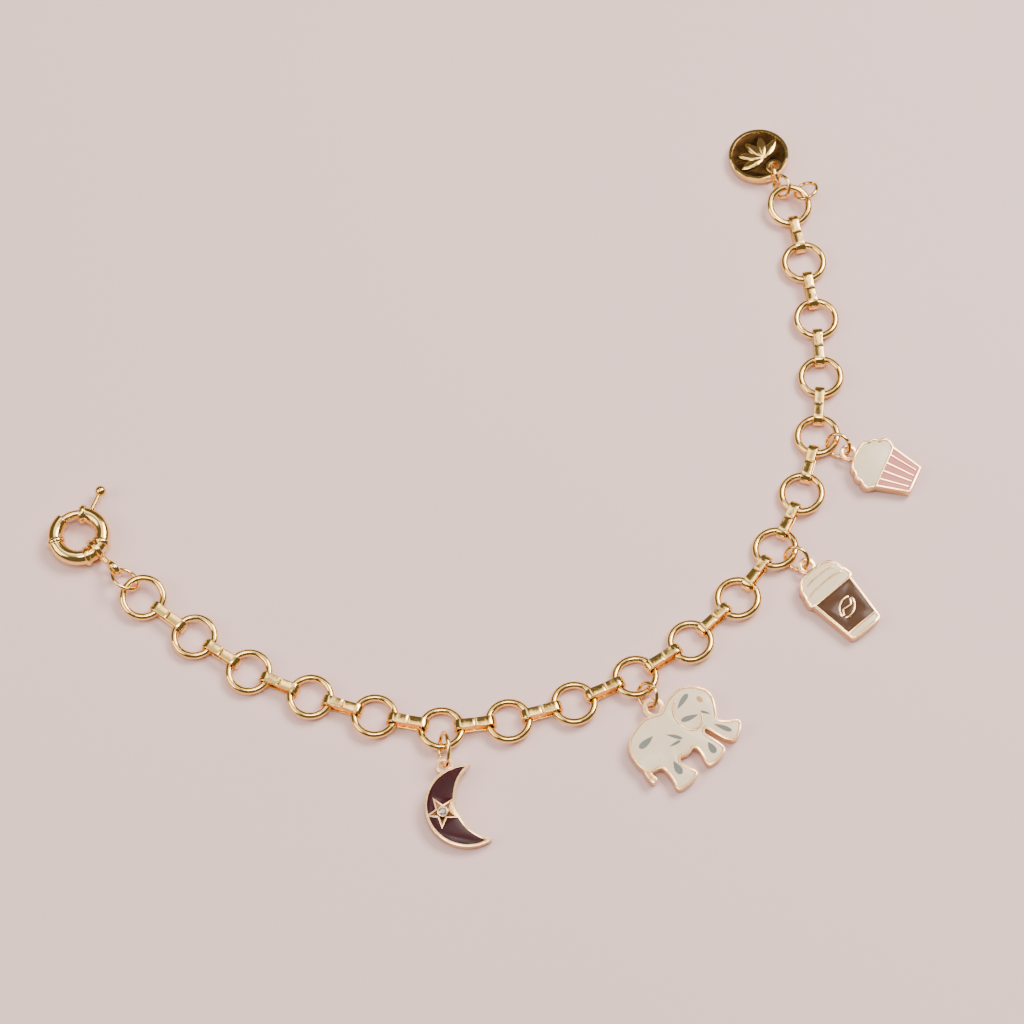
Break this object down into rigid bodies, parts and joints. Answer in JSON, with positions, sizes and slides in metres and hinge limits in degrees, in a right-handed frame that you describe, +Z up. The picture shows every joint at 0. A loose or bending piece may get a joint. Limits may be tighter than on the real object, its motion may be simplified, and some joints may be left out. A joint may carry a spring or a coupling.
{
  "type": "charm bracelet",
  "caption": "Gold-tone chain bracelet of round rings and ribbon links with a spring ring clasp, enamel moon, elephant, cup and cupcake charms, and a round tag, lying open.",
  "frame": {"origin": "centre of the bounding box in plan, on the table that the bracelet lies on", "axes": "+Z up from the table, +X from the clasp towards the charms on the right, +Y away from the viewer, from the moon towards the tag"},
  "size_m": [0.1392, 0.126, 0.0057],
  "materials": {
    "chain_gold": "polished warm yellow gold plating",
    "cast_gold": "polished cast metal with a paler rose gold plating",
    "maroon_enamel": "glossy dark maroon hard enamel",
    "ivory_enamel": "glossy off-white hard enamel",
    "brown_enamel": "glossy coffee brown hard enamel",
    "pink_enamel": "glossy pale pink hard enamel",
    "clear_stone": "clear faceted crystal"
  },
  "bodies": {
    "bracelet": {"ring_01": "chain_gold", "ring_02": "chain_gold", "ring_03": "chain_gold", "ring_04": "chain_gold", "ring_05": "chain_gold", "ring_06": "chain_gold", "ring_07": "chain_gold", "ring_08": "chain_gold", "ring_09": "chain_gold", "ring_10": "chain_gold", "ring_11": "chain_gold", "ring_12": "chain_gold", "ring_13": "chain_gold", "ring_14": "chain_gold", "ring_15": "chain_gold", "ring_16": "chain_gold", "ring_17": "chain_gold", "ring_18": "chain_gold", "link_01": "chain_gold", "link_02": "chain_gold", "link_03": "chain_gold", "link_04": "chain_gold", "link_05": "chain_gold", "link_06": "chain_gold", "link_07": "chain_gold", "link_08": "chain_gold", "link_09": "chain_gold", "link_10": "chain_gold", "link_11": "chain_gold", "link_12": "chain_gold", "link_13": "chain_gold", "link_14": "chain_gold", "link_15": "chain_gold", "link_16": "chain_gold", "link_17": "chain_gold", "clasp_body": "chain_gold", "clasp_bail": "chain_gold", "clasp_jump_ring": "chain_gold", "moon_jump_ring": "chain_gold", "elephant_jump_ring": "chain_gold", "cup_jump_ring": "chain_gold", "cupcake_jump_ring": "chain_gold", "tag_jump_ring_1": "chain_gold", "tag_jump_ring_2": "chain_gold", "spare_ring": "chain_gold", "tag_disc": "chain_gold", "moon_frame": "cast_gold", "elephant_frame": "cast_gold", "cup_frame": "cast_gold", "cupcake_frame": "cast_gold", "moon_enamel_upper": "maroon_enamel", "moon_enamel_lower": "maroon_enamel", "moon_stone": "clear_stone", "elephant_enamel": "ivory_enamel", "cup_lid_enamel": "ivory_enamel", "cup_sleeve_enamel": "brown_enamel", "cup_foot_enamel": "ivory_enamel", "cupcake_icing_enamel": "ivory_enamel", "cupcake_case_enamel": "pink_enamel"},
    "gate": {"clasp_gate": "chain_gold"}
  },
  "joints": [
    {"name": "clasp_gate_slide", "type": "hinge", "parent": "bracelet", "child": "gate", "pos_m": [-0.06445, -0.01127, 0.00191], "axis": [0, 0, -1], "range_deg": [0, 46], "stiffness_Nm_per_rad": 0.002, "springref_deg": -17.19}
  ]
}
